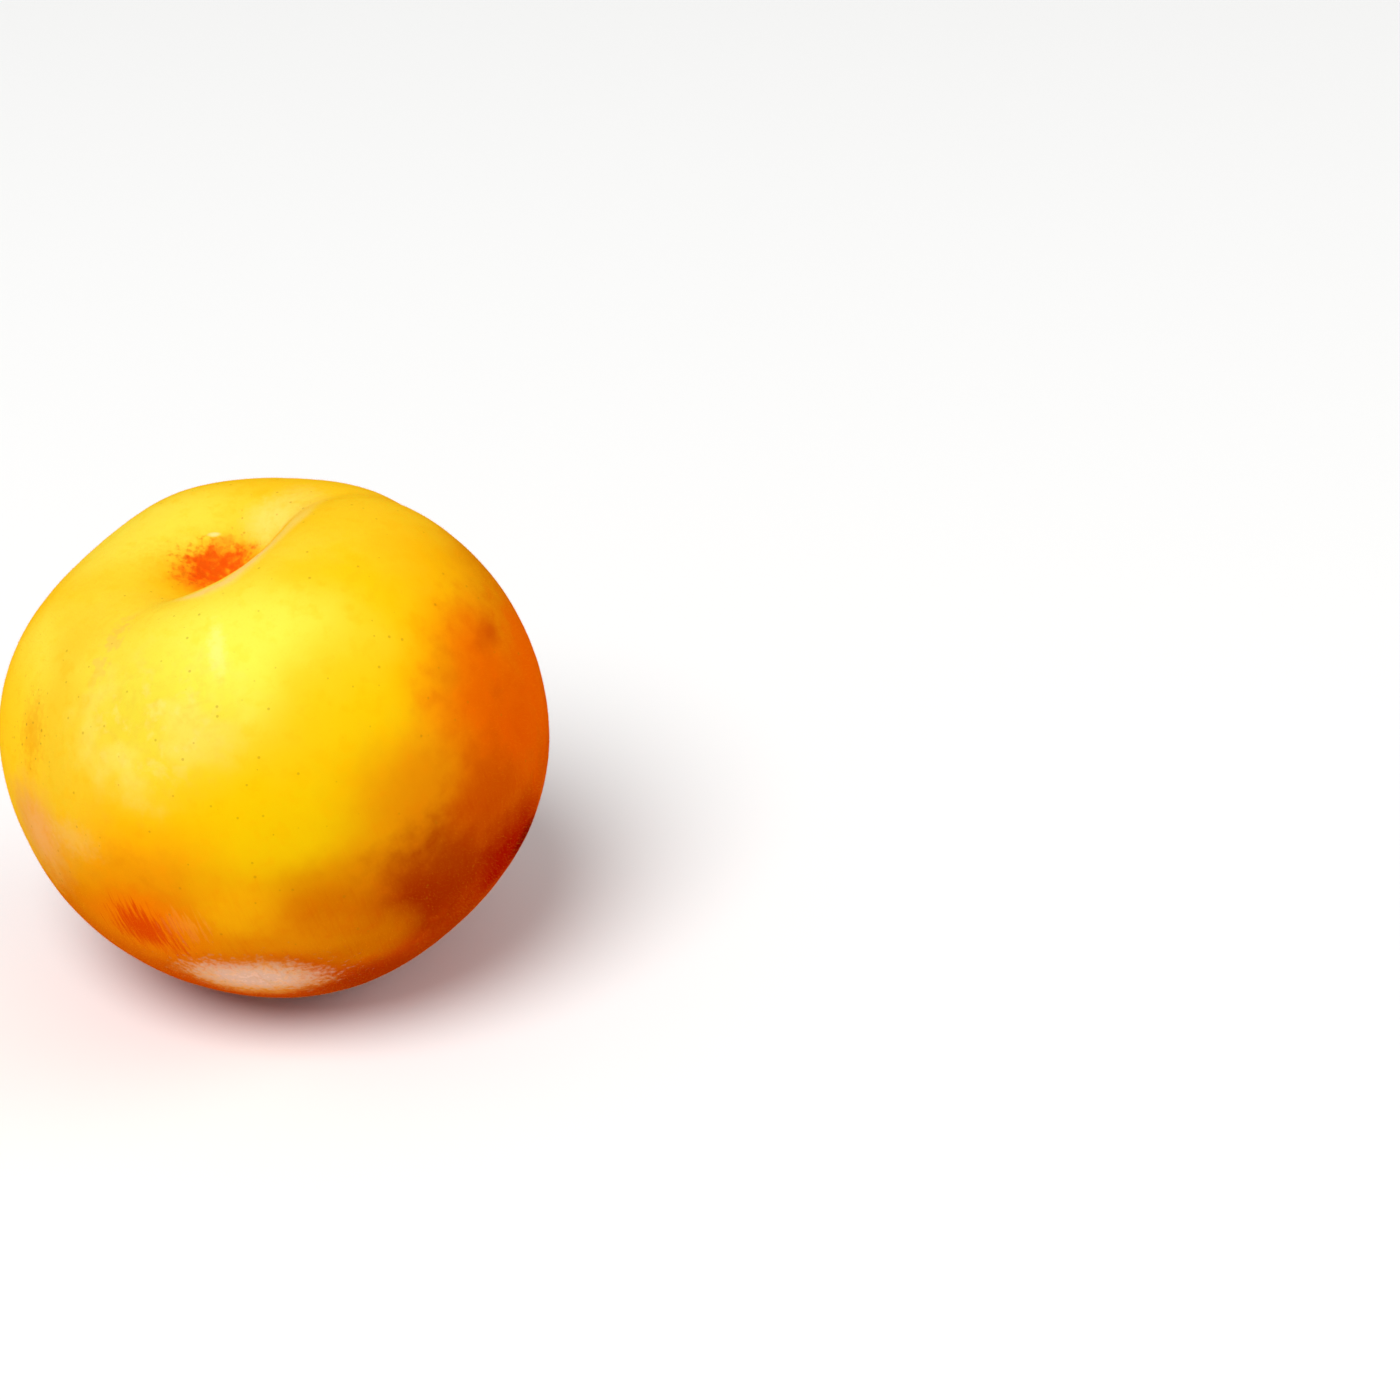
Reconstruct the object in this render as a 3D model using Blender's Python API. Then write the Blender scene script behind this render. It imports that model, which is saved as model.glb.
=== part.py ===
"""A whole ripe peach, as picked: one body of flesh and skin that rests on a small flat spot.

The body is a turned outline. Its stem cavity, suture, shoulders and flats are pressed into it,
and it is then leaned over as it lies and set down. Metres, +Z up, the origin in the middle of its resting spot.
"""

import math

import bmesh
import bpy
from mathutils import Matrix, Vector

MM = 0.001

# The turned body, in the fruit's own frame: +Z is the stem end, +X the suture's deep side
EQUATOR_RADIUS = 37.3 * MM
STEM_END_HEIGHT, TIP_END_HEIGHT = 34.2 * MM, 33.5 * MM
STEM_END_FULLNESS, TIP_END_FULLNESS = 2.32, 2.1  # outline's exponent: 2 is an ellipse, more is squarer
CHEEK_SPREAD = 0.008  # share by which the fruit is wider across the cheeks than along the suture

# The stem cavity: a wide dish with a steeper funnel in it, both longer along the suture
DISH_DEPTH = 3.8 * MM
DISH_LENGTH, DISH_WIDTH = 14.5 * MM, 13.0 * MM
FUNNEL_DEPTH = 8.0 * MM
FUNNEL_LENGTH, FUNNEL_WIDTH = 8.0 * MM, 6.0 * MM
FUNNEL_CURVE = 1.5  # exponent of the funnel's wall, where less is sharper at the bottom
FUNNEL_SHIFT = 1.5 * MM  # from the turned body's axis towards the deep side of the suture

# The scar where the stem came off, at the bottom of the cavity
SCAR_RADIUS = 2.1 * MM
SCAR_RIM_HEIGHT = 0.35 * MM
SCAR_RIM_WIDTH = 0.6 * MM

# The suture: a crease that is deepest at the cavity's rim and fades down each side
CREASE_HALF_WIDTH = 3.0 * MM
CREASE_SOFTNESS = 0.35  # rounding of its bottom, as a share of the half width
CREASE_START, CREASE_FULL = 3.0 * MM, 10.0 * MM  # distances from the stem axis where it begins and is whole
DEEP_SIDE = (2.6 * MM, 0.5 * MM)  # depth at the rim and at the tip
FAINT_SIDE = (1.4 * MM, 0.1 * MM)
CREASE_FADE = math.radians(27)  # angle from the stem over which it fades from one to the other
CREASE_TURN = math.radians(20)  # how far the deep side turns off the faint side's line

# The blossom end: a shallow basin with a small dry point in it
BASIN_DEPTH, BASIN_RADIUS = 0.9 * MM, 5.0 * MM
POINT_HEIGHT, POINT_RADIUS = 0.6 * MM, 1.3 * MM

# Broad swellings and flats: azimuth, angle from the stem and reach in degrees, then height
SWELLINGS = (
    (95, 44, 22, -0.6 * MM),  # the lower shoulder slopes away
    (50, 36, 16, 0.8 * MM),  # and is full again towards the furrow
    (8, 38, 16, -0.6 * MM),  # where it drops off behind the top
    (-27, 30, 12, -0.6 * MM),  # the furrow's other lip is low
    (-28, 62, 25, -1.4 * MM),  # long flat beside the furrow, below the high shoulder
    (120, 70, 24, 0.3 * MM),  # the sloping side's cheek
    (148, 118, 26, -0.8 * MM),  # flat below that cheek
    (-55, 100, 24, -0.3 * MM),  # the high side's cheek
    (-95, 140, 22, -0.3 * MM),  # flat between that cheek and the tip
    (-140, 146, 23, 0.8 * MM),  # full side of the tip
)

# How it lies: the suture turned about the stem axis, then the stem end leaned to its left
SUTURE_AZIMUTH = math.radians(49)
LEAN_LEFT = math.radians(16)
SPOT_DEPTH = 0.8 * MM  # how far the resting spot is pressed in

# Fineness of the faceted solid
MERIDIANS = 90
ROWS = 60
ROW_BUNCHING = 0.65  # how much closer the rows stand at the two ends
MERIDIAN_BUNCHING = 0.55  # how much closer the meridians stand at the suture

SKIN_COLOUR = (0.95, 0.50, 0.03, 1.0)
SKIN_ROUGHNESS = 0.6


def clear_scene():
    for old in list(bpy.data.objects):
        bpy.data.objects.remove(old)


def smooth_step(value, low, high):
    share = min(1.0, max(0.0, (value - low) / (high - low)))
    return share * share * (3 - 2 * share)


def outline_point(angle):
    """A point of the turned outline, at this angle from the stem."""
    height, power = STEM_END_HEIGHT, STEM_END_FULLNESS
    if angle > math.pi / 2:
        height, power = TIP_END_HEIGHT, TIP_END_FULLNESS
    out, up = abs(math.sin(angle)), abs(math.cos(angle))
    reach = ((out / EQUATOR_RADIUS) ** power + (up / height) ** power) ** (-1 / power)
    return Vector((reach * math.sin(angle), 0, reach * math.cos(angle)))


def row_angles():
    """The rows' angles from the stem, closer together at the two ends."""
    for row in range(ROWS + 1):
        share = row / ROWS
        yield math.pi * share - ROW_BUNCHING * math.sin(2 * math.pi * share) / 2


def turned_body():
    """The outline spun about the stem axis, as a bmesh."""
    body = bmesh.new()
    outline = [body.verts.new(outline_point(angle)) for angle in row_angles()]
    outline[0].co.x = outline[-1].co.x = 0
    edges = [body.edges.new(pair) for pair in zip(outline, outline[1:])]
    bmesh.ops.spin(
        body,
        geom=outline + edges,
        cent=(0, 0, 0),
        axis=(0, 0, 1),
        angle=2 * math.pi,
        steps=MERIDIANS,
        use_merge=True,
    )
    bmesh.ops.remove_doubles(body, verts=body.verts, dist=0.001 * MM)
    bmesh.ops.recalc_face_normals(body, faces=body.faces)
    return body


def drawn_to_suture(point):
    """The point turned about the stem axis, so that the meridians stand closer at the suture."""
    azimuth = math.atan2(point.y, point.x)
    turn = -MERIDIAN_BUNCHING * math.sin(2 * azimuth) / 2
    return Matrix.Rotation(turn, 3, "Z") @ point


def cavity_depth(x, y):
    dish = DISH_DEPTH * math.exp(-((x / DISH_LENGTH) ** 2) - (y / DISH_WIDTH) ** 2)
    x -= FUNNEL_SHIFT
    out = math.hypot(x, y)
    flat = max(1.0, SCAR_RADIUS / max(out, 0.01 * MM))  # the funnel ends in the flat scar
    wall = math.hypot(x * flat / FUNNEL_LENGTH, y * flat / FUNNEL_WIDTH) ** FUNNEL_CURVE
    rim = SCAR_RIM_HEIGHT * math.exp(-(((out - SCAR_RADIUS) / SCAR_RIM_WIDTH) ** 2))
    return dish + FUNNEL_DEPTH * math.exp(-wall) - rim


def crease_depth(point):
    """How deep the suture is at a point of the skin."""
    at_rim, at_tip = DEEP_SIDE if point.x > 0 else FAINT_SIDE
    angle = point.angle(Vector((0, 0, 1)))
    depth = at_tip + (at_rim - at_tip) * math.exp(-((angle / CREASE_FADE) ** 2))
    beside = point.y + max(0.0, point.x) * math.tan(CREASE_TURN)
    across = math.hypot(beside / CREASE_HALF_WIDTH, CREASE_SOFTNESS) - CREASE_SOFTNESS
    begun = smooth_step(math.hypot(point.x, point.y), CREASE_START, CREASE_FULL)
    return depth * begun * math.exp(-across)


def swelling(point):
    height = 0.0
    for azimuth, from_stem, reach, rise in SWELLINGS:
        out = math.sin(math.radians(from_stem))
        towards = Vector(
            (
                out * math.cos(math.radians(azimuth)),
                out * math.sin(math.radians(azimuth)),
                math.cos(math.radians(from_stem)),
            )
        )
        height += rise * math.exp(-((point.angle(towards) / math.radians(reach)) ** 2))
    return height


def blossom_end(out):
    """The rise of the skin at the tip: a basin, with the dry point in its middle."""
    basin = BASIN_DEPTH * math.exp(-((out / BASIN_RADIUS) ** 2))
    return basin - POINT_HEIGHT * math.exp(-((out / POINT_RADIUS) ** 2))


def pressed(point):
    """A point of the turned body, moved to where the real skin lies."""
    point = drawn_to_suture(point)
    skin = point + point.normalized() * (swelling(point) - crease_depth(point))
    skin.x *= 1 - CHEEK_SPREAD
    skin.y *= 1 + CHEEK_SPREAD
    if point.z > 0:
        skin.x += FUNNEL_SHIFT * math.exp(-((math.hypot(skin.x, skin.y) / DISH_LENGTH) ** 2))
        skin.z -= cavity_depth(skin.x, skin.y)
    else:
        skin.z += blossom_end(math.hypot(skin.x, skin.y))
    return skin


def lean():
    """The turn from the fruit's own frame to how it lies."""
    turned = Matrix.Rotation(SUTURE_AZIMUTH, 3, "Z")
    left = Matrix.Rotation(-LEAN_LEFT, 3, "Y")
    return left @ turned


def set_down(body):
    """Presses the resting spot flat and puts its middle at the origin."""
    lowest = min(vert.co.z for vert in body.verts)
    cut = Vector((0, 0, lowest + SPOT_DEPTH))
    geometry = body.verts[:] + body.edges[:] + body.faces[:]
    bmesh.ops.bisect_plane(body, geom=geometry, plane_co=cut, plane_no=(0, 0, -1), clear_outer=True)
    rim = [edge for edge in body.edges if edge.is_boundary]
    spot = bmesh.ops.edgeloop_fill(body, edges=rim)["faces"][0]
    bmesh.ops.translate(body, verts=body.verts, vec=-spot.calc_center_median_weighted())
    bmesh.ops.recalc_face_normals(body, faces=body.faces)


def skin_material():
    material = bpy.data.materials.new("peach_skin")
    material.use_nodes = True
    shader = material.node_tree.nodes["Principled BSDF"]
    shader.inputs["Base Color"].default_value = SKIN_COLOUR
    shader.inputs["Roughness"].default_value = SKIN_ROUGHNESS
    shader.inputs["Metallic"].default_value = 0.0
    return material


def main():
    clear_scene()
    body = turned_body()
    lying = lean()
    for vert in body.verts:
        vert.co = lying @ pressed(vert.co)
    set_down(body)
    mesh = bpy.data.meshes.new("peach")
    body.to_mesh(mesh)
    body.free()
    mesh.shade_smooth()
    mesh.set_sharp_from_angle(angle=math.radians(40))
    mesh.materials.append(skin_material())
    peach = bpy.data.objects.new("peach", mesh)
    bpy.context.scene.collection.objects.link(peach)


if __name__ == "__main__":
    main()
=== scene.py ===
"""Dresses the peach: its coloured skin, the fuzz on it, and the plain studio that it is seen in.

Lengths are metres and +Z is up. Places and sizes on the skin are given in millimetres of the same frame.
"""

import math

import bmesh
import bpy
from mathutils import Matrix, Vector, geometry, noise


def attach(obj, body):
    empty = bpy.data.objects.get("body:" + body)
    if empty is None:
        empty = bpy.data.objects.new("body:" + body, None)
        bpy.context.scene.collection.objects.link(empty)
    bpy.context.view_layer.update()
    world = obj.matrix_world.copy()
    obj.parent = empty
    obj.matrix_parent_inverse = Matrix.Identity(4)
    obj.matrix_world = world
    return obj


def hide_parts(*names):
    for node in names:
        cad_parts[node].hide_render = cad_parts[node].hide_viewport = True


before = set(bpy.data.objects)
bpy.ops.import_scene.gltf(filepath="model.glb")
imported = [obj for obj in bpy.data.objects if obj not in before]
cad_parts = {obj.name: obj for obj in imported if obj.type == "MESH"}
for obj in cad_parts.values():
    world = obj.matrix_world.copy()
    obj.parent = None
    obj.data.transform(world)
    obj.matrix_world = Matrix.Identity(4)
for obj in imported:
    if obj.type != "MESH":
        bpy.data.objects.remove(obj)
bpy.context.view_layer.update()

MM = 0.001


def ends(none, whole):
    """The value at which something on the skin has no strength, and the one at which it has all of it."""
    return {"From_Min": none, "From_Max": whole}


# How the fruit lies: its own frame has +Z at the stem and +X on the suture's deep side
FRUIT_MIDDLE = Vector((2.88, 0.04, 33.24))
LEAN_LEFT, SUTURE_AZIMUTH = math.radians(16), math.radians(49)
FRUIT_LEAN = Matrix.Rotation(-LEAN_LEFT, 3, "Y") @ Matrix.Rotation(SUTURE_AZIMUTH, 3, "Z")
EQUATOR_RADIUS = 37.3

# The suture in that frame: its deep side turns off, and its near lip swings out round the stem cavity
DEEP_SIDE_TURN = math.tan(math.radians(20))
LIP_CREST = (
    (-12, -5.2),
    (-10.2, -7.8),
    (-7.2, -10.3),
    (-2, -10.2),
    (4, -9.5),
    (9.5, -9.0),
    (14, -6.7),
    (21, -6.3),
)
NO_LIP = 50.0  # kept as the distance from the lip on the fruit's lower half, which has none

# The mesh of the skin
SKIN_LEVELS = 2
SAME_PLACE = 0.01  # corners that are closer than this are one
MOST_BEND, MOST_SKEW = math.radians(40), math.radians(80)  # of two triangles that become one face
FLAT_HEIGHT = 0.8  # the relief grows up to this height, so that the resting spot stays flat
WAVE_HEIGHT, WAVE_LENGTH = 0.07, 7.0  # soft waves all over
DIMPLE_HEIGHT, DIMPLE_LENGTH = 0.025, 2.2  # and dimples in them

# Wrinkles along both lips of the suture
WRINKLE_HEIGHT, WRINKLE_SPACING = 0.045, 1.6
WRINKLE_PLACE, WRINKLE_REACH = 2.0, 5.0  # how far beside the suture they are highest, and how far they go on
WRINKLE_TOP = 34.0  # they fade from this height above the fruit's middle down to its equator
WRINKLE_BEND, WRINKLE_BEND_LENGTH = 0.8, 4.0
WRINKLE_SHARE, WRINKLE_PATCH_LENGTH = 0.5, 6.0  # how strong they are on average, and how fast that changes

# Patterns in the skin. Its pores are coarser than real ones, which are too fine to show
WANDER_SIZE, WANDER_REACH = 8.0, 5.0  # what bends the edges of the broad marks
GROUND_BREAK = 8.0  # how far the clouds break the ground colour's bands
STREAK_WIDTH, STREAK_LENGTH = 0.45, 4.0
GRAINS = (("clouds", 2.4, 4.0), ("flecks", 1.5, 3.0), ("grit", 0.8, 3.0), ("streaks", STREAK_WIDTH, 3.0))
GRAIN_ROUGHNESS = 0.55
NOISE_MIDDLE = 0.5  # what noise is on average
SPECK_SHARE, SPECK_RADIUS, SPECK_SOFTNESS = 0.9, 0.26, 0.1
SPECK_SPACING, EDGE_SPECK_SPACING = 1.6, 1.0
PORE_SIZE, PORE_DEPTH, PORE_STRENGTH = 0.45, 0.04, 0.3

# The fuzz, as coarse as it has to be to show: real fuzz has more hairs, and finer ones
HAIR_LENGTH, HAIR_WIDTH = 0.22, 0.013
HAIRS_PER_SQUARE_MM = 10.0
HAIR_TILT = math.radians(28)
HAIR_CLEARANCE = 0.5  # none grow lower than this, where the fruit is pressed on what it rests on
SHORTEST_HAIR, LONGEST_HAIR = 0.5, 1.2  # as shares of the hair length
ROOT_SEED, LEAN_SEED, LENGTH_SEED = 7, 11, 13
TRIANGLE_WIDTH, TRIANGLE_HEIGHT = math.sqrt(3), 1.5  # of one whose corners are 1 from its middle
TRIANGLE_DROP = 0.5  # from the middle of that triangle to its base


def linear(colour, alpha=1.0):
    """An sRGB hex colour as the linear values that shaders use."""
    shares = [int(colour[at : at + 2], 16) / 255 for at in (1, 3, 5)]
    return [c / 12.92 if c <= 0.04045 else ((c + 0.055) / 1.055) ** 2.4 for c in shares] + [alpha]


def add_node(tree, kind, settings=(), **inputs):
    """Adds a node. Settings are its options, and each input is a value, or the node or socket that feeds it.

    An input goes by its name, with _ for a space, or by its number after a _.
    """
    node = tree.nodes.new(kind)
    for name, value in dict(settings).items():
        setattr(node, name, value)
    for name, value in inputs.items():
        number = name[1:]
        socket = node.inputs[int(number) if number.isdigit() else name.replace("_", " ")]
        if isinstance(value, bpy.types.Node):
            value = next(output for output in value.outputs if output.enabled)
        if isinstance(value, bpy.types.NodeSocket):
            tree.links.new(value, socket)
        else:
            socket.default_value = value
    return node


def new_material(name):
    """A node material with nothing in it yet."""
    material = bpy.data.materials.new(name)
    material.use_nodes = True
    material.node_tree.nodes.clear()
    return material


def new_piece(name, mesh, material):
    piece = bpy.data.objects.new(name, mesh)
    bpy.context.scene.collection.objects.link(piece)
    mesh.materials.clear()
    mesh.materials.append(material)
    return piece


# Skin: its shape


def own_place(place):
    """A place in the fruit's own frame."""
    return FRUIT_LEAN.transposed() @ (place - FRUIT_MIDDLE)


def finer_body():
    """The CAD fruit as one closed mesh, mostly of four-sided faces, made finer and smoother."""
    shape = bmesh.new()
    shape.from_mesh(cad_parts["peach"].data)
    bmesh.ops.remove_doubles(shape, verts=shape.verts, dist=SAME_PLACE * MM)
    bmesh.ops.join_triangles(
        shape,
        faces=shape.faces,
        angle_face_threshold=MOST_BEND,
        angle_shape_threshold=MOST_SKEW,
    )
    coarse = bpy.data.meshes.new("peach_body")
    shape.to_mesh(coarse)
    shape.free()
    for layer in [a.name for a in coarse.attributes if a.name in ("sharp_edge", "custom_normal")]:
        coarse.attributes.remove(coarse.attributes[layer])
    body = bpy.data.objects.new("peach_body", coarse)
    bpy.context.scene.collection.objects.link(body)
    smooth = body.modifiers.new("finer", "SUBSURF")
    smooth.levels = smooth.render_levels = SKIN_LEVELS
    fine = bpy.data.meshes.new_from_object(body.evaluated_get(bpy.context.evaluated_depsgraph_get()))
    bpy.data.objects.remove(body)
    return fine


def wrinkles(place):
    """How far the wrinkles beside the suture stand out at a place."""
    own = own_place(place)
    bend = WRINKLE_BEND * noise.noise(place / WRINKLE_BEND_LENGTH)
    beside = own.y + max(0.0, own.x) * DEEP_SIDE_TURN
    near_suture = math.exp(-((abs(beside) - WRINKLE_PLACE) / WRINKLE_REACH) ** 2)
    high_up = max(0.0, own.z / WRINKLE_TOP)
    wrinkle = math.sin(math.tau * (beside / WRINKLE_SPACING + bend))
    patchy = WRINKLE_SHARE + noise.noise(own / WRINKLE_PATCH_LENGTH)
    return WRINKLE_HEIGHT * (near_suture * high_up) * wrinkle * patchy


def relief(place):
    """How far the skin stands out at a place."""
    wave = WAVE_HEIGHT * noise.noise(place / WAVE_LENGTH)
    dimple = DIMPLE_HEIGHT * noise.noise(place / DIMPLE_LENGTH)
    return wave + dimple + wrinkles(place)


def skin_mesh():
    mesh = finer_body()
    mesh.name = "peach_skin"
    normals = [vert.normal.copy() for vert in mesh.vertices]
    for vert, normal in zip(mesh.vertices, normals):
        place = vert.co / MM
        lifted = min(1.0, max(0.0, place.z / FLAT_HEIGHT))
        vert.co += normal * relief(place) * lifted * MM
        vert.co.z = max(0.0, vert.co.z)
    mark_lip(mesh)
    mesh.shade_smooth()
    return mesh


def mark_lip(mesh):
    """Keeps on each point how far it is from the crest of the suture's near lip."""
    crest = [Vector(point) for point in LIP_CREST]
    distances = mesh.attributes.new("lip_distance", "FLOAT", "POINT")
    for vert, kept in zip(mesh.vertices, distances.data):
        own = own_place(vert.co / MM)
        kept.value = NO_LIP
        if own.z > 0:
            kept.value = min(far_from(own.xy, start, end) for start, end in zip(crest, crest[1:]))


def far_from(place, start, end):
    """How far a place is from the straight stretch between two points."""
    nearest, share = geometry.intersect_point_line(place, start, end)
    if share < 0:
        nearest = start
    elif share > 1:
        nearest = end
    return (place - Vector(nearest[:2])).length


# Skin: its colour

# The hues of ripe yellow peach skin, roughly from the palest to the darkest; the darkest of them also stand
# for painted shade. They are the results of a fit to the photographed colours, some rounded and some as they
# were, and are shared between the marks
LEMON, BUTTER, STRAW = "#ebeb50", "#f6dc44", "#e4d038"
BRIGHT_GOLD, GOLD, HONEY = "#fcc820", "#eec404", "#e8bc28"
AMBER, TANGERINE, OCHRE = "#f6b408", "#ee9c08", "#e08604"
ROSY, ORANGE, CARAMEL = "#e8a040", "#e87a04", "#d07000"
DEEP_ORANGE, BURNT_ORANGE, VERMILION = "#f05e00", "#d46404", "#e04a00"
RUSSET, RUST, BRICK = "#c44600", "#a83a10", "#a02a00"
SHADE_RED, DEEPEST_SHADE_RED = "#9c0200", "#700000"

# The ground colour, from the skin's red side to its pale side: its own blush, with painted shade laid in at
# the red end and painted light at the pale end, which faces the key lamp
GROUND = (
    (0.00, RUST),
    (0.40, RUSSET),
    (0.50, BURNT_ORANGE),
    (0.65, OCHRE),
    (0.73, TANGERINE),
    (0.80, AMBER),
    (0.88, BRIGHT_GOLD),
    (1.00, BUTTER),
)
# The way to the ground colour's pale end, nearly the way to the key lamp: painted light on that side and
# painted shade on the far one
PALE_AND_LIT_SIDE = Vector((-0.35, -0.30, 0.90))

# Marks on the skin, from the ground up. Each has a name, its middle, its half sizes, how soft its edge is,
# which grain breaks the edge and how much, and its hue and strength
MARKS = (
    ("far lobe", (3, 12, 63), (24, 13, 9), 0.6, "clouds", 0.3, BRIGHT_GOLD, 0.85),
    ("left of the far lobe", (-13, 10, 61), (13, 8, 8), 0.6, "clouds", 0.3, BUTTER, 0.85),
    ("top of the near lobe", (15, 0, 67), (14, 8, 6), 0.6, "clouds", 0.3, BRIGHT_GOLD, 0.85),
    ("left cheek", (-25, -19, 49), (9, 12, 15), 0.6, "clouds", 0.3, HONEY, 0.85),
    ("pale left shoulder", (-19, -19, 55.5), (5.5, 5.5, 4.5), 0.8, "clouds", 0.6, BUTTER, 0.6),
    ("upper left edge", (-29, -6, 51), (5, 8, 7), 0.7, "clouds", 0.3, BUTTER, 0.8),
    ("left edge", (-33, -9, 40), (5, 14, 17), 0.7, "clouds", 0.8, BRIGHT_GOLD, 0.85),
    ("pale shoulder", (-9, -28, 55), (18, 10, 11), 0.6, "clouds", 0.6, STRAW, 0.85),
    ("right shoulder", (10, -20, 64), (12, 8, 7), 0.6, "clouds", 0.3, GOLD, 0.85),
    ("upper right shoulder", (21, -8, 61), (6, 9, 6), 0.8, "clouds", 0.5, AMBER, 0.5),
    # Lemon yellow of the skin with a painted highlight in it, on the upper left shoulder
    ("lemon shoulder with painted highlight", (-1, -25, 61), (13, 9, 7), 0.7, "clouds", 0.3, LEMON, 0.85),
    ("golden band", (11, -30, 55), (8, 7, 9), 0.7, "clouds", 0.4, GOLD, 0.8),
    ("low yellow band", (2, -37, 42), (13, 8, 10), 0.7, "clouds", 0.4, GOLD, 0.85),
    ("right cheek", (30, -20, 49), (8, 9, 11), 0.8, "clouds", 0.4, DEEP_ORANGE, 0.85),
    ("brown cheek", (20, -32, 39), (9, 6, 8), 0.9, "clouds", 0.8, OCHRE, 0.65),
    ("right edge", (37, -6, 46), (4, 12, 15), 0.8, "clouds", 1.0, DEEP_ORANGE, 0.85),
    ("middle of the right edge", (33, -17, 42), (4, 6, 5.5), 0.8, "clouds", 0.6, VERMILION, 0.5),
    # Part red blush of the skin, part painted shade on the lower right side
    ("blush and painted shade on the lower right", (23, -31, 27), (10, 9, 9), 0.6, "clouds", 0.9, BRICK, 0.85),
    ("orange right flank", (29, -26, 37), (6, 6, 6), 0.7, "clouds", 0.7, RUSSET, 0.8),
    # Painted shade low down on the right edge
    ("painted shade on the right edge", (33, -20, 24), (6, 9, 6.5), 0.6, "clouds", 0.3, SHADE_RED, 0.9),
    ("dark patch", (21, -31, 23.5), (3.6, 4, 4.6), 0.6, "clouds", 1.6, BRICK, 0.7),
    # The deepest painted shade, low on the right edge
    ("darkest painted shade on the right edge", (35, -15, 23), (3.0, 4, 3.5), 0.6, "clouds", 0.6, DEEPEST_SHADE_RED, 0.8),
    ("lower left blush", (-17, -29, 22), (9, 8, 5), 0.6, "clouds", 0.5, ORANGE, 0.85),
    # Painted sheen: the pinkish haze of fuzz seen edge-on, low on the left edge
    ("pink painted sheen low on the left edge", (-30, -17, 31), (5, 7, 7), 0.6, "clouds", 0.8, ROSY, 0.85),
    ("brown above the foot", (8, -37, 28.5), (6.5, 6, 5), 0.9, "clouds", 0.9, CARAMEL, 0.75),
    # Painted shade low on the fruit's lower right, just above the floor
    ("painted shade on the lower right rim", (14, -26, 10), (8, 7, 4.5), 0.6, "clouds", 0.5, BRICK, 0.85),
    ("end of the painted shade on the lower right rim", (24, -23, 16), (6, 6, 5.5), 0.6, "clouds", 0.5, BRICK, 0.8),
    ("lower right flank", (12, -33, 20), (7, 5, 5), 0.6, "clouds", 0.5, CARAMEL, 0.85),
    ("middle of the foot", (-3, -35, 23), (12, 6, 4), 0.6, "clouds", 0.6, OCHRE, 0.85),
    ("yellow tongue above the foot", (-4, -36, 28), (5, 5, 4), 0.8, "clouds", 0.6, AMBER, 0.6),
    ("cavity halo", (-5.5, 3.5, 58), (8.5, 5.5, 4.5), 0.6, "grit", 0.8, AMBER, 0.7),
    # Painted sheen: the pale haze of fuzz lit from the floor, laid into the colour on the bottom
    ("painted sheen haze at the bottom", (-3.6, -30.5, 13.2), (9.0, 6, 4.4), 0.5, "grit", 0.6, ROSY, 0.85),
)

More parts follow.
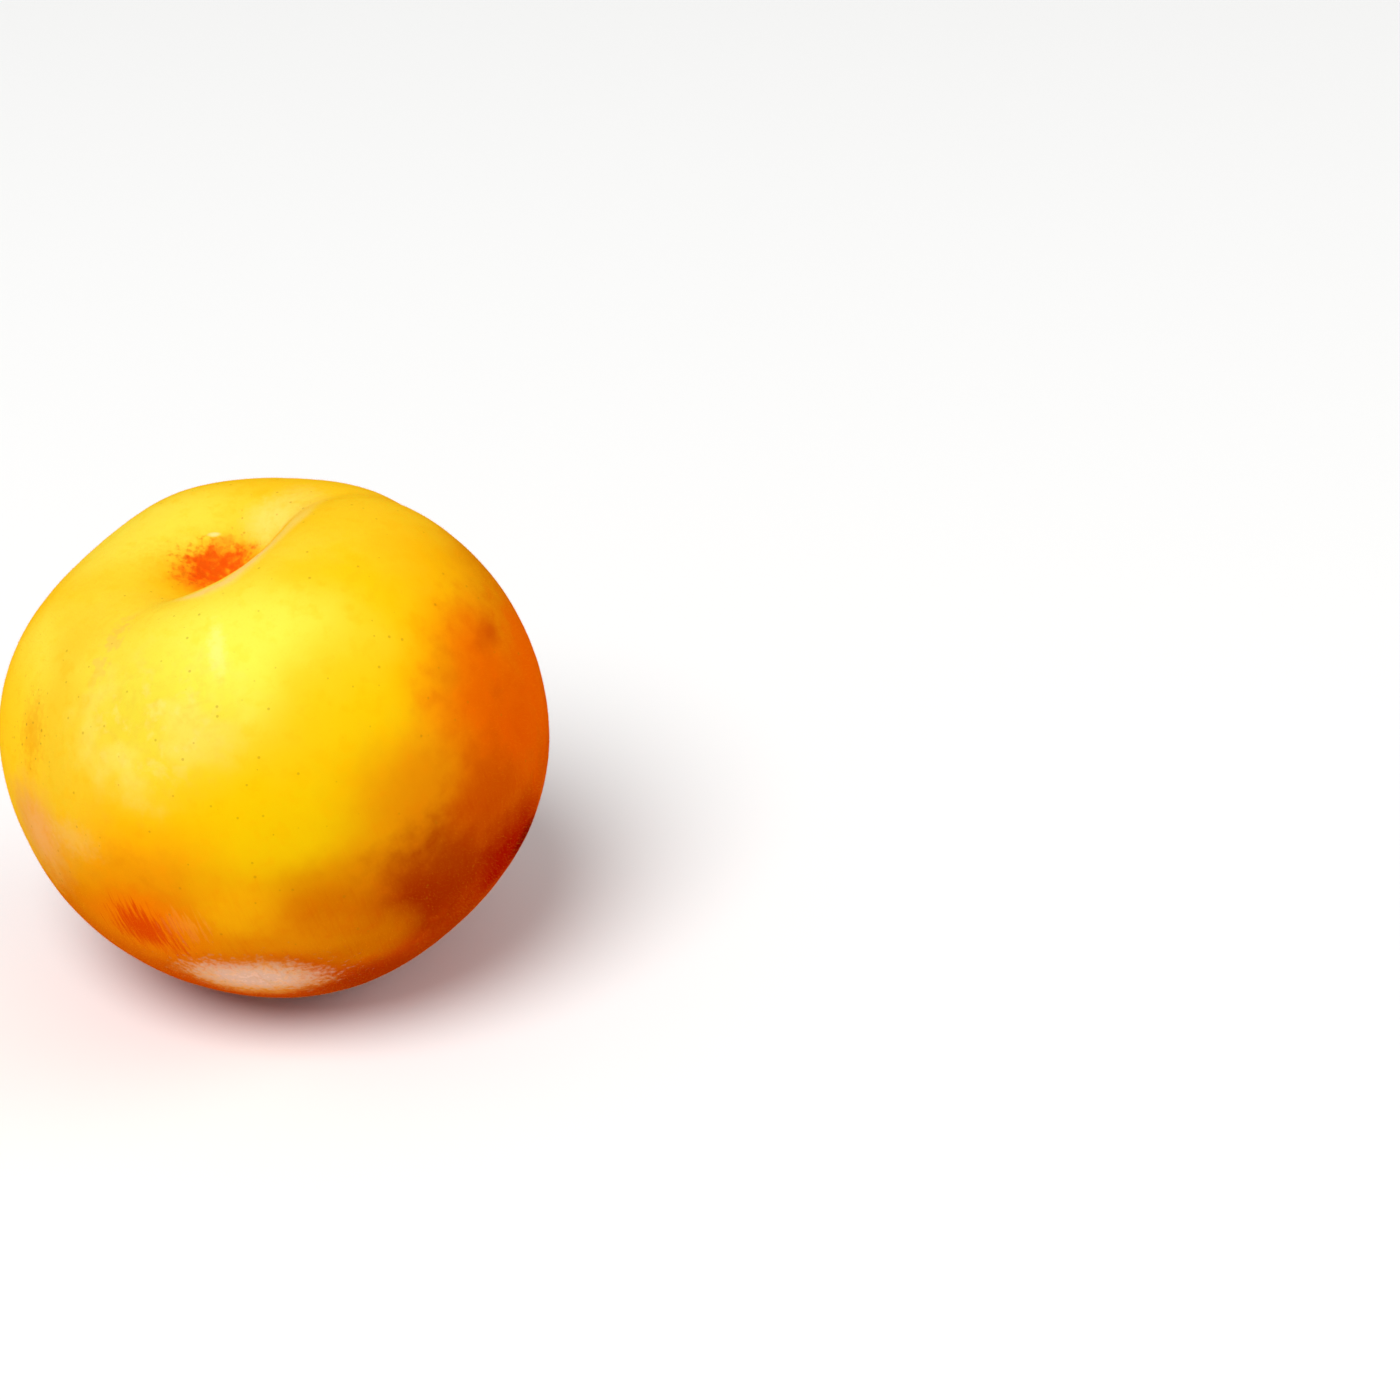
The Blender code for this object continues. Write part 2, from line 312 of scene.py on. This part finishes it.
# Small marks, which lie just where they are said to
SPOTS = (
    # Pale skin along the furrow, laid on strongly as painted light that lifts the shade in its crease
    ("pale furrow lifted by painted light", (3.6, 7.4, 62.4), (3.2, 3.4, 2.8), 0.8, "grit", 0.8, "#f8de6c", 0.75),
    ("end of the pale furrow lifted by painted light", (7.4, 9.6, 64.2), (3.0, 3.2, 2.2), 0.9, "grit", 0.8, "#f6d258", 0.55),
    ("left of the cavity flush", (-6.6, 2.6, 57.3), (3.2, 3.2, 2.2), 0.9, "flecks", 1.6, "#fa780c", 0.9),
    ("right of the cavity flush", (-2.6, 4.9, 58.4), (3.4, 2.6, 1.9), 0.9, "flecks", 1.8, "#fb7c10", 0.9),
    ("deep flush", (-4.6, 4.1, 57.9), (3.6, 2.4, 2.0), 0.6, "flecks", 5.0, "#f03c06", 0.65),
    ("dark specks of the flush", (-4.2, 4.3, 58.1), (3.6, 2.8, 2.0), 0.5, "grit", 6.0, "#c84a0c", 0.4),
    ("orange by the fleck", (-3.0, 7.3, 60.1), (1.7, 0.8, 0.7), 0.7, "grit", 1.6, "#f0921c", 0.6),
    ("white fleck", (-4.2, 8.3, 60.6), (0.7, 0.3, 0.25), 0.6, "grit", 1.4, "#ffeca8", 0.55),
    ("right smudge", (30.9, -13.8, 54.4), (2.9, 3.4, 1.9), 0.6, "clouds", 1.0, "#cc4e02", 0.5),
    ("core of the right smudge", (31.2, -13.2, 54.3), (1.2, 1.5, 0.7), 0.8, "grit", 1.4, "#c43c04", 0.4),
    ("brown mottles on the right", (29.5, -20.0, 50.0), (6.0, 8.0, 7.5), 1.0, "clouds", 2.4, "#cc6000", 0.28),
    ("brown patch on the right", (24.0, -23.0, 54.0), (1.8, 3.0, 3.2), 0.8, "clouds", 1.6, "#d88404", 0.35),
    ("small brown patch", (31.6, -19.0, 48.6), (1.2, 1.5, 1.2), 0.8, "grit", 1.6, "#cc5404", 0.35),
    ("speckled left edge", (-29.4, -15.4, 45.0), (1.6, 3.0, 4.4), 0.8, "grit", 3.0, "#dc7c0c", 0.35),
    ("orange round the streaks", (-15.6, -30.4, 24.0), (7.0, 4.6, 4.2), 0.8, "flecks", 1.0, "#f27400", 0.6),
    ("red streaks", (-16.5, -29.2, 22.2), (5.0, 3.8, 3.2), 0.7, "streaks", 4.0, "#d02c02", 0.75),
    ("scratches", (-11.4, -32.9, 24.2), (2.0, 2.0, 1.8), 0.3, "streaks", 9.0, "#f8a440", 0.2),
    # Painted sheen: the pale glow of fuzz lit from the floor at the bottom; the specks under it are the
    # skin's own
    ("painted sheen at the bottom", (-2.8, -30.8, 14.2), (7.2, 4.0, 3.0), 0.7, "grit", 1.6, "#eec8b4", 0.85),
    ("specks in the bottom's painted sheen", (-2.8, -30.8, 14.2), (6.6, 4.0, 2.8), 0.3, "grit", 9.0, "#b88460", 0.25),
    # Painted sheen: pale haze of fuzz seen edge-on at the left edge
    ("pale painted sheen on the left edge", (-29.6, -18.0, 31.4), (2.4, 3.4, 3.4), 0.9, "grit", 1.6, "#f4a870", 0.35),
    ("bloom on the left cheek", (-25.0, -24.6, 34.0), (4.0, 3.0, 2.0), 0.9, "grit", 2.4, "#eebc70", 0.25),
    ("pale nick", (10.6, -10.5, 66.0), (1.8, 0.5, 0.5), 0.6, "grit", 0.6, "#f8e890", 0.4),
    ("scar of the stem", (-2.4, 1.2, 55.0), (2.1, 2.1, 1.1), 0.4, "grit", 1.2, "#8a5c28", 0.85),
    ("dry point of the blossom end", (12.0, 0.0, 1.2), (1.3, 1.3, 0.9), 0.4, "grit", 1.2, "#6a4822", 0.8),
    # A pale painted highlight streak on the upper left shoulder
    ("painted highlight streak", (-4.5, -24.2, 60.0), (0.9, 3.4, 2.6), 0.8, "grit", 1.6, "#fff4a0", 0.35),
)

# Where the skin is flecked with cream, and where its specks are thickest: as the marks' middle,
# half sizes and softness, then how much the clouds break it
CREAM = ((-13, -27, 51.5), (12, 9, 9), 0.4, 1.0)
SPECKLED_EDGE = ((-29.5, -15, 45), (4, 7, 7), 0.6, 1.0)

# The near lip's lines, by the distance from its crest, and where they lie along the suture
# The rosy line is painted sheen along the lip's edge. The wide pale line is the skin's pale band along the
# lip, laid on strongly as painted light over the shade in the crease beside it
LIP_SHEEN_LINE, LIP_SHEEN_PAINT = ends(1.3, 0.3), ("#ffc27a", 0.75)
WIDE_LIP, WIDE_LIP_PAINT = ends(2.6, 0.6), ("#fad86c", 0.55)
LIP_BEGUN, LIP_BY_CAVITY, LIP_FADING = ends(-12.5, -10.0), ends(5.0, -1.0), ends(19.0, 8.0)

# The smudges on the suture's faint side, by the distance from its line, and where they lie along it
FAINT_LINE, FAINT_PAINT = ends(1.2, 0.2), ("#f0a45c", 0.28)
FAINT_BEGUN, FAINT_ENDED = ends(-13.0, -18.0), ends(-29.0, -23.0)
FAINT_BREAK = 6.0

# Fine colours: at which value of its pattern each is there, then its hue and strength
MOTTLED, MOTTLE_PAINT = ends(0.0, 0.18), ("#fff0a8", 0.4, "MULTIPLY")
STREAKY, STREAK_PAINT = ends(0.0, 0.2), ("#f4c090", 0.2, "MULTIPLY")
# Where the streaks lie: on the ground colour's red side, which is part blush and part painted shade
RED_AND_SHADE_SIDE = ends(0.8, 0.45)
CREAM_PATCH, CREAM_PATCH_PAINT = ends(0.42, 0.62), ("#f0dc70", 0.35)
CREAM_BLOTCH, CREAM_BLOTCH_PAINT = ends(0.0, 0.2), ("#f8e88c", 0.3)
CREAM_FLECK, CREAM_FLECK_PAINT = ends(0.1, -0.3), ("#e2b838", 0.35)
SPECK_PAINT, EDGE_SPECK_PAINT = ("#ac720c", 0.4), ("#9a5c18", 0.5)

SOFT_STEP = {"interpolation_type": "SMOOTHSTEP"}
AS_TEXTURE = {"vector_type": "TEXTURE"}
PLUS, MINUS, TIMES, TIMES_PLUS = (
    {"operation": name} for name in ("ADD", "SUBTRACT", "MULTIPLY", "MULTIPLY_ADD")
)


def spread(tree, place, grain, middle, half_sizes, softness, rough):
    """How much of a mark a place has: 1 in its middle and 0 past its broken edge."""
    own = add_node(tree, "ShaderNodeMapping", AS_TEXTURE, Vector=place, Location=middle, Scale=half_sizes)
    away = add_node(tree, "ShaderNodeVectorMath", {"operation": "LENGTH"}, Vector=own)
    broken = add_node(tree, "ShaderNodeMath", TIMES_PLUS, _0=grain, _1=rough, _2=away)
    edge = ends(1 + softness, 1 - softness)
    return add_node(tree, "ShaderNodeMapRange", SOFT_STEP, Value=broken, **edge)


def where_all(tree, *shares):
    """The share of a place that all these shares leave it."""
    whole = shares[0]
    for share in shares[1:]:
        whole = add_node(tree, "ShaderNodeMath", TIMES, _0=whole, _1=share)
    return whole


def painted(tree, under, share, hue, strength, way="MIX"):
    """A hue laid on the colour under it, as thick as its share and strength say."""
    cover = add_node(tree, "ShaderNodeMath", TIMES, _0=share, _1=strength)
    mixing = {"data_type": "RGBA", "blend_type": way}
    return add_node(tree, "ShaderNodeMix", mixing, Factor=cover, A=under, B=linear(hue))


def skin_ground(tree, warped, clouds):
    """The skin's ground colour, from its red side to its pale side, and how far a place is towards the pale
    side. Beside the skin's blush it holds painted shade and painted light.
    """
    out = add_node(tree, "ShaderNodeVectorMath", MINUS, _0=warped, _1=FRUIT_MIDDLE)
    pale_and_lit = PALE_AND_LIT_SIDE.normalized()
    towards = add_node(tree, "ShaderNodeVectorMath", {"operation": "DOT_PRODUCT"}, _0=out, _1=pale_and_lit)
    broken = add_node(tree, "ShaderNodeMath", TIMES_PLUS, _0=clouds, _1=GROUND_BREAK, _2=towards)
    share = add_node(tree, "ShaderNodeMapRange", Value=broken, **ends(-EQUATOR_RADIUS, EQUATOR_RADIUS))
    ramp = add_node(tree, "ShaderNodeValToRGB", Fac=share)
    stops = ramp.color_ramp.elements
    while len(stops) < len(GROUND):
        stops.new(0.5)
    for stop, (at, colour) in zip(stops, GROUND):
        stop.position = at
        stop.color = linear(colour)
    return ramp, share


def places_down_the_fruit(tree, own):
    """Places whose patterns are drawn out from the stem to the tip."""
    parts = add_node(tree, "ShaderNodeSeparateXYZ", _0=own).outputs
    out = add_node(tree, "ShaderNodeCombineXYZ", X=parts["X"], Y=parts["Y"])
    facing = add_node(tree, "ShaderNodeVectorMath", {"operation": "NORMALIZE"}, _0=out)
    around = add_node(tree, "ShaderNodeVectorMath", {"operation": "SCALE"}, _0=facing, Scale=EQUATOR_RADIUS)
    slow = add_node(tree, "ShaderNodeMath", TIMES, _0=parts["Z"], _1=STREAK_WIDTH / STREAK_LENGTH)
    down = add_node(tree, "ShaderNodeCombineXYZ", Z=slow)
    return add_node(tree, "ShaderNodeVectorMath", PLUS, _0=around, _1=down)


def skin_grains(tree, place, own):
    """The patterns that break up the marks, each from about -0.5 to 0.5."""
    drawn_out = places_down_the_fruit(tree, own)
    grains = {}
    for name, size, detail in GRAINS:
        pattern = add_node(
            tree,
            "ShaderNodeTexNoise",
            Vector=drawn_out if name == "streaks" else place,
            Scale=1 / size,
            Detail=detail,
            Roughness=GRAIN_ROUGHNESS,
        )
        grains[name] = add_node(tree, "ShaderNodeMath", MINUS, _0=pattern, _1=NOISE_MIDDLE)
    return grains


def specks(tree, place, spacing):
    """Where small corky dots lie: one at most in each cell, of many sizes."""
    cells = add_node(tree, "ShaderNodeTexVoronoi", Vector=place, Scale=1 / spacing)
    chance = add_node(tree, "ShaderNodeSeparateColor", _0=cells.outputs["Color"])
    largest = SPECK_RADIUS / spacing
    size = add_node(tree, "ShaderNodeMapRange", Value=chance, From_Min=1 - SPECK_SHARE, To_Max=largest)
    inside = add_node(tree, "ShaderNodeMath", MINUS, _0=size, _1=cells.outputs["Distance"])
    edge = ends(0.0, SPECK_SOFTNESS / spacing)
    return add_node(tree, "ShaderNodeMapRange", SOFT_STEP, Value=inside, **edge)


def lip_lines(tree, own, colour):
    """The near lip of the suture: a thin rosy line of painted sheen along its edge by the cavity, in a wide
    pale one down the deep side, partly the skin's pale band and partly painted light over the crease's shade.
    """
    from_lip = add_node(tree, "ShaderNodeAttribute", {"attribute_name": "lip_distance"}).outputs["Fac"]
    along = add_node(tree, "ShaderNodeSeparateXYZ", _0=own).outputs["X"]
    begun = add_node(tree, "ShaderNodeMapRange", SOFT_STEP, Value=along, **LIP_BEGUN)
    by_cavity = add_node(tree, "ShaderNodeMapRange", SOFT_STEP, Value=along, **LIP_BY_CAVITY)
    fading = add_node(tree, "ShaderNodeMapRange", SOFT_STEP, Value=along, **LIP_FADING)
    lip_sheen = add_node(tree, "ShaderNodeMapRange", SOFT_STEP, Value=from_lip, **LIP_SHEEN_LINE)
    colour = painted(tree, colour, where_all(tree, lip_sheen, by_cavity, begun), *LIP_SHEEN_PAINT)
    wide = add_node(tree, "ShaderNodeMapRange", SOFT_STEP, Value=from_lip, **WIDE_LIP)
    return painted(tree, colour, where_all(tree, wide, fading, begun), *WIDE_LIP_PAINT)


def faint_smudges(tree, own, flecks, colour):
    """The rosy smudges along the suture on the side where it is faint."""
    parts = add_node(tree, "ShaderNodeSeparateXYZ", _0=own).outputs
    beside = add_node(tree, "ShaderNodeMath", {"operation": "ABSOLUTE"}, _0=parts["Y"])
    broken = add_node(tree, "ShaderNodeMath", TIMES_PLUS, _0=flecks, _1=FAINT_BREAK, _2=beside)
    line = add_node(tree, "ShaderNodeMapRange", SOFT_STEP, Value=broken, **FAINT_LINE)
    begun = add_node(tree, "ShaderNodeMapRange", SOFT_STEP, Value=parts["X"], **FAINT_BEGUN)
    ended = add_node(tree, "ShaderNodeMapRange", SOFT_STEP, Value=parts["X"], **FAINT_ENDED)
    return painted(tree, colour, where_all(tree, line, begun, ended), *FAINT_PAINT)


def mottles(tree, grains, pale_and_lit, colour):
    """Faint mottling all over, and faint streaks from stem to tip on the ground colour's red side."""
    mottled = add_node(tree, "ShaderNodeMapRange", SOFT_STEP, Value=grains["clouds"], **MOTTLED)
    colour = painted(tree, colour, mottled, *MOTTLE_PAINT)
    red_and_shade = add_node(tree, "ShaderNodeMapRange", SOFT_STEP, Value=pale_and_lit, **RED_AND_SHADE_SIDE)
    streaky = add_node(tree, "ShaderNodeMapRange", SOFT_STEP, Value=grains["streaks"], **STREAKY)
    return painted(tree, colour, where_all(tree, streaky, red_and_shade), *STREAK_PAINT)


def cream_patches(tree, place, bends, grains, colour):
    """Cream patches and blotches on the left shoulder, with darker flecks in them."""
    creamy = spread(tree, place, grains["clouds"], *CREAM)
    for pattern, there, paint in (
        (bends, CREAM_PATCH, CREAM_PATCH_PAINT),
        (grains["clouds"], CREAM_BLOTCH, CREAM_BLOTCH_PAINT),
        (grains["flecks"], CREAM_FLECK, CREAM_FLECK_PAINT),
    ):
        share = add_node(tree, "ShaderNodeMapRange", SOFT_STEP, Value=pattern, **there)
        colour = painted(tree, colour, where_all(tree, share, creamy), *paint)
    return colour


def skin_specks(tree, place, clouds, colour):
    """Brown specks all over, and more of them on the left edge."""
    colour = painted(tree, colour, specks(tree, place, SPECK_SPACING), *SPECK_PAINT)
    at_edge = spread(tree, place, clouds, *SPECKLED_EDGE)
    thick = specks(tree, place, EDGE_SPECK_SPACING)
    return painted(tree, colour, where_all(tree, thick, at_edge), *EDGE_SPECK_PAINT)


def skin_colour(tree, place, own):
    """Every colour of the skin, from the ground up to the smallest specks."""
    grains = skin_grains(tree, place, own)
    bends = add_node(
        tree, "ShaderNodeTexNoise", Vector=place, Scale=1 / WANDER_SIZE, Roughness=GRAIN_ROUGHNESS
    )
    bend = add_node(
        tree, "ShaderNodeVectorMath", MINUS, _0=bends.outputs["Color"], _1=(NOISE_MIDDLE,) * 3
    )
    wander = add_node(tree, "ShaderNodeVectorMath", {"operation": "SCALE"}, _0=bend, Scale=WANDER_REACH)
    warped = add_node(tree, "ShaderNodeVectorMath", PLUS, _0=place, _1=wander)

    colour, pale_and_lit = skin_ground(tree, warped, grains["clouds"])
    for marks, where in ((MARKS, warped), (SPOTS, place)):
        for _, middle, half_sizes, softness, grain, rough, hue, strength in marks:
            share = spread(tree, where, grains[grain], middle, half_sizes, softness, rough)
            colour = painted(tree, colour, share, hue, strength)
    colour = lip_lines(tree, own, colour)
    colour = faint_smudges(tree, own, grains["flecks"], colour)
    colour = mottles(tree, grains, pale_and_lit, colour)
    colour = cream_patches(tree, place, bends.outputs[0], grains, colour)
    return skin_specks(tree, place, grains["clouds"], colour)


def skin_material():
    """Ripe yellow peach skin: waxy cells under a nap of fuzz, soft and matt with no clear highlight."""
    material = new_material("ripe_peach_skin")
    tree = material.node_tree
    here = add_node(tree, "ShaderNodeTexCoord").outputs["Object"]
    place = add_node(tree, "ShaderNodeMapping", AS_TEXTURE, Vector=here, Scale=(MM, MM, MM))
    own = add_node(
        tree,
        "ShaderNodeMapping",
        AS_TEXTURE,
        Vector=here,
        Location=FRUIT_MIDDLE * MM,
        Rotation=FRUIT_LEAN.to_euler(),
        Scale=(MM, MM, MM),
    )
    pores = add_node(tree, "ShaderNodeTexNoise", Vector=place, Scale=1 / PORE_SIZE)
    grain = add_node(
        tree, "ShaderNodeBump", Height=pores, Strength=PORE_STRENGTH, Distance=PORE_DEPTH * MM
    )
    shader = add_node(
        tree,
        "ShaderNodeBsdfPrincipled",
        Base_Color=skin_colour(tree, place, own),
        Normal=grain,
        Roughness=0.72,
        IOR=1.42,
        Subsurface_Weight=0.12,
        Subsurface_Radius=(1.0, 0.4, 0.12),
        Subsurface_Scale=0.0025,
        Specular_IOR_Level=0.0,  # the fuzz scatters what the wax would reflect, so no gloss is left
    )
    add_node(tree, "ShaderNodeOutputMaterial", Surface=shader.outputs[0])
    return material


# Fuzz


def fuzz_material():
    """Dry plant hairs, taken as matt and golden, which soften the skin and lighten its edges."""
    material = new_material("peach_fuzz")
    tree = material.node_tree
    shader = add_node(
        tree,
        "ShaderNodeBsdfPrincipled",
        Base_Color=linear("#f5a01c"),
        Roughness=0.8,
        Specular_IOR_Level=0.0,
    )
    add_node(tree, "ShaderNodeOutputMaterial", Surface=shader.outputs[0])
    return material


def hair_roots(tree, given):
    """The points that hairs stand on: all over the skin, but not low down."""
    position = add_node(tree, "GeometryNodeInputPosition").outputs[0]
    height = add_node(tree, "ShaderNodeSeparateXYZ", _0=position).outputs["Z"]
    clear = add_node(
        tree,
        "FunctionNodeCompare",
        {"data_type": "FLOAT", "operation": "GREATER_THAN"},
        A=height,
        B=given["Clearance"],
    )
    return add_node(
        tree,
        "GeometryNodeDistributePointsOnFaces",
        Mesh=given["Skin"],
        Selection=clear.outputs["Result"],
        Density=given["Density"],
        Seed=ROOT_SEED,
    )


def hair_blade(tree, given):
    """One upright hair: a thin triangle with its base at the root."""
    triangle = add_node(tree, "GeometryNodeMeshCircle", {"fill_type": "NGON"}, Vertices=3, Radius=1.0)
    upright = add_node(
        tree,
        "GeometryNodeTransform",
        Geometry=triangle.outputs["Mesh"],
        Translation=(0, 0, TRIANGLE_DROP),
        Rotation=(0, math.radians(-90), 0),
    )
    width = add_node(tree, "ShaderNodeMath", TIMES, _0=given["Hair width"], _1=1 / TRIANGLE_WIDTH)
    length = add_node(tree, "ShaderNodeMath", TIMES, _0=given["Hair length"], _1=1 / TRIANGLE_HEIGHT)
    size = add_node(tree, "ShaderNodeCombineXYZ", X=1.0, Y=width.outputs[0], Z=length.outputs[0])
    return add_node(tree, "GeometryNodeTransform", Geometry=upright.outputs[0], Scale=size.outputs[0])


def hair_leans(tree, given, upright):
    """The way that each hair points: as it would stand, leaned a little its own way."""
    least = add_node(tree, "ShaderNodeMath", TIMES, _0=given["Tilt"], _1=-1.0)
    low = add_node(tree, "ShaderNodeCombineXYZ", X=least.outputs[0], Y=least.outputs[0], Z=-math.pi)
    high = add_node(tree, "ShaderNodeCombineXYZ", X=given["Tilt"], Y=given["Tilt"], Z=math.pi)
    lean = add_node(
        tree,
        "FunctionNodeRandomValue",
        {"data_type": "FLOAT_VECTOR"},
        _0=low.outputs[0],
        _1=high.outputs[0],
        Seed=LEAN_SEED,
    )
    return add_node(
        tree,
        "FunctionNodeRotateRotation",
        {"rotation_space": "LOCAL"},
        Rotation=upright,
        Rotate_By=lean.outputs[0],
    )


def fuzz_tree(material):
    """Scatters hairs on a skin, each of its own length and at a slight lean of its own."""
    tree = bpy.data.node_groups.new("fuzz_on_skin", "GeometryNodeTree")
    tree.interface.new_socket("Skin", in_out="INPUT", socket_type="NodeSocketGeometry")
    for name in ("Hair length", "Hair width", "Density", "Tilt", "Clearance"):
        tree.interface.new_socket(name, in_out="INPUT", socket_type="NodeSocketFloat")
    tree.interface.new_socket("Fuzz", in_out="OUTPUT", socket_type="NodeSocketGeometry")
    given = add_node(tree, "NodeGroupInput").outputs

    roots = hair_roots(tree, given)
    tall = add_node(
        tree,
        "FunctionNodeRandomValue",
        {"data_type": "FLOAT"},
        _2=SHORTEST_HAIR,
        _3=LONGEST_HAIR,
        Seed=LENGTH_SEED,
    )
    hairs = add_node(
        tree,
        "GeometryNodeInstanceOnPoints",
        Points=roots.outputs["Points"],
        Instance=hair_blade(tree, given).outputs[0],
        Rotation=hair_leans(tree, given, roots.outputs["Rotation"]).outputs[0],
        Scale=tall.outputs[1],
    )
    real = add_node(tree, "GeometryNodeRealizeInstances", Geometry=hairs.outputs[0])
    finished = add_node(tree, "GeometryNodeSetMaterial", Geometry=real.outputs[0], Material=material)
    add_node(tree, "NodeGroupOutput", _0=finished.outputs[0])
    return tree


def fuzz_mesh(skin, material):
    """The hairs that grow on the skin, as one plain mesh."""
    sizes = {
        "Hair length": HAIR_LENGTH * MM,
        "Hair width": HAIR_WIDTH * MM,
        "Density": HAIRS_PER_SQUARE_MM / MM**2,
        "Tilt": HAIR_TILT,
        "Clearance": HAIR_CLEARANCE * MM,
    }
    carrier = bpy.data.objects.new("fuzz_carrier", skin)
    bpy.context.scene.collection.objects.link(carrier)
    tree = fuzz_tree(material)
    grow = carrier.modifiers.new("fuzz", "NODES")
    grow.node_group = tree
    for socket in tree.interface.items_tree:
        if socket.name in sizes:
            grow[socket.identifier] = sizes[socket.name]
    grown = carrier.evaluated_get(bpy.context.evaluated_depsgraph_get())
    mesh = bpy.data.meshes.new_from_object(grown)
    carrier.modifiers.remove(grow)
    bpy.data.objects.remove(carrier)
    mesh.name = "peach_fuzz"
    return mesh


# Studio

CAMERA_PLACE = Vector((1.9, -424.0, 268.3)) * MM
CAMERA_DOWN, CAMERA_RIGHT = math.radians(28.63), math.radians(7.95)
CAMERA_LENS, CAMERA_SENSOR = 90, 36
CAMERA_NEAREST, CAMERA_FURTHEST = 0.01, 20
FLOOR_HALF = 3.0

# Round softboxes that face the fruit: the way to each, its distance, its width and its watts
LIGHT_MIDDLE = Vector((0, 0, 35)) * MM
LIGHTS = (
    ("key", (-0.35, -0.5, 0.9), 2.6, 1.7, 57.0),
    ("fill", (0.95, 0.05, 0.4), 2.4, 1.8, 16.0),
)
DAYLIGHT = 0.36


def camera():
    """Looks down at the fruit from in front, past it to the right, as the photograph does."""
    eye = bpy.data.cameras.new("camera")
    eye.lens = CAMERA_LENS
    eye.sensor_fit = "HORIZONTAL"
    eye.sensor_width = CAMERA_SENSOR
    eye.clip_start, eye.clip_end = CAMERA_NEAREST, CAMERA_FURTHEST
    holder = bpy.data.objects.new("camera", eye)
    holder.location = CAMERA_PLACE
    holder.rotation_euler = (math.pi / 2 - CAMERA_DOWN, 0, -CAMERA_RIGHT)
    bpy.context.scene.collection.objects.link(holder)
    bpy.context.scene.camera = holder


def softbox(name, towards, distance, width, watts):
    lamp = bpy.data.lights.new(name, "AREA")
    lamp.shape = "DISK"
    lamp.size = width
    lamp.energy = watts
    holder = bpy.data.objects.new(name, lamp)
    way = Vector(towards).normalized()
    holder.location = LIGHT_MIDDLE + way * distance
    holder.rotation_euler = way.to_track_quat("Z", "Y").to_euler()
    bpy.context.scene.collection.objects.link(holder)


def floor():
    """A plain white sheet that reaches past the whole view."""
    mesh = bpy.data.meshes.new("studio_floor")
    half = FLOOR_HALF
    corners = [(-half, -half, 0), (half, -half, 0), (half, half, 0), (-half, half, 0)]
    mesh.from_pydata(corners, [], [(0, 1, 2, 3)])
    material = new_material("matt_white_card")
    tree = material.node_tree
    shader = add_node(tree, "ShaderNodeBsdfPrincipled", Base_Color=linear("#fbfbfa"), Roughness=0.95)
    add_node(tree, "ShaderNodeOutputMaterial", Surface=shader.outputs[0])
    return new_piece("studio_floor", mesh, material)


def daylight():
    world = bpy.data.worlds.new("studio")
    world.use_nodes = True
    tree = world.node_tree
    tree.nodes.clear()
    sky = add_node(tree, "ShaderNodeBackground", Color=linear("#ffffff"), Strength=DAYLIGHT)
    add_node(tree, "ShaderNodeOutputWorld", Surface=sky.outputs[0])
    bpy.context.scene.world = world


def studio():
    camera()
    for light in LIGHTS:
        softbox(*light)
    daylight()
    floor()
    bpy.context.scene.view_settings.view_transform = "Standard"


def main():
    skin = new_piece("peach_skin", skin_mesh(), skin_material())
    fuzz_finish = fuzz_material()
    fuzz = new_piece("peach_fuzz", fuzz_mesh(skin.data, fuzz_finish), fuzz_finish)
    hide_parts("peach")
    for piece in (skin, fuzz):
        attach(piece, "root")
    studio()


main()
